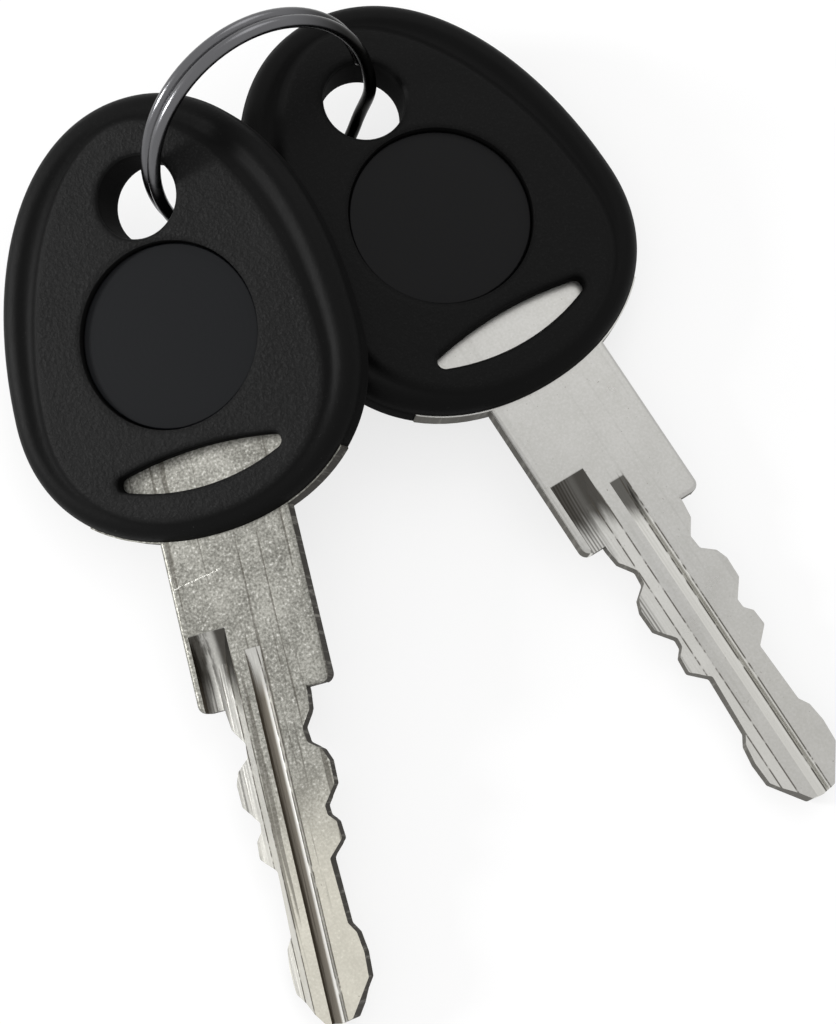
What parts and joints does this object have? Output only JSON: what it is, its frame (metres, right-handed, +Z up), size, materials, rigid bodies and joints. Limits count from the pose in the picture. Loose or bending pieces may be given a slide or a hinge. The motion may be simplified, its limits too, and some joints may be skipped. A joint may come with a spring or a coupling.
{
  "type": "pair of vehicle door keys on a split ring",
  "caption": "Black-headed flat metal door keys with milled grooves and cut edges, lying crossed and joined by a small split ring through the holes in their moulded heads.",
  "frame": {"origin": "on the table the keys lie on, under the middle of their bounding box", "axes": "+Z up from the table, +Y away from the tips towards the ring, +X to the right as seen from the tips' side"},
  "size_m": [0.063, 0.078, 0.0188],
  "materials": {
    "blade_metal": "nickel plated, fine scratches",
    "bow_moulding": "satin black with a fine grain",
    "inlay_disc": "smooth satin black",
    "ring_wire": "polished nickel plate"
  },
  "bodies": {
    "ring": {"split_ring": "ring_wire"},
    "lower_key": {"lower_key_blade": "blade_metal", "lower_key_bow": "bow_moulding", "lower_key_inlay": "inlay_disc"},
    "upper_key": {"upper_key_blade": "blade_metal", "upper_key_bow": "bow_moulding", "upper_key_inlay": "inlay_disc"}
  },
  "joints": [
    {"name": "lower_key_swing", "type": "hinge", "parent": "ring", "child": "lower_key", "pos_m": [-0.00445, 0.0305, 0.00571], "axis": [0.1269, -0.0055, 0.9919], "range_deg": [0, 150]},
    {"name": "upper_key_swing", "type": "hinge", "parent": "ring", "child": "upper_key", "pos_m": [-0.0205, 0.02169, 0.00851], "axis": [0.2885, 0.1853, -0.9394], "range_deg": [-30, 150]}
  ]
}
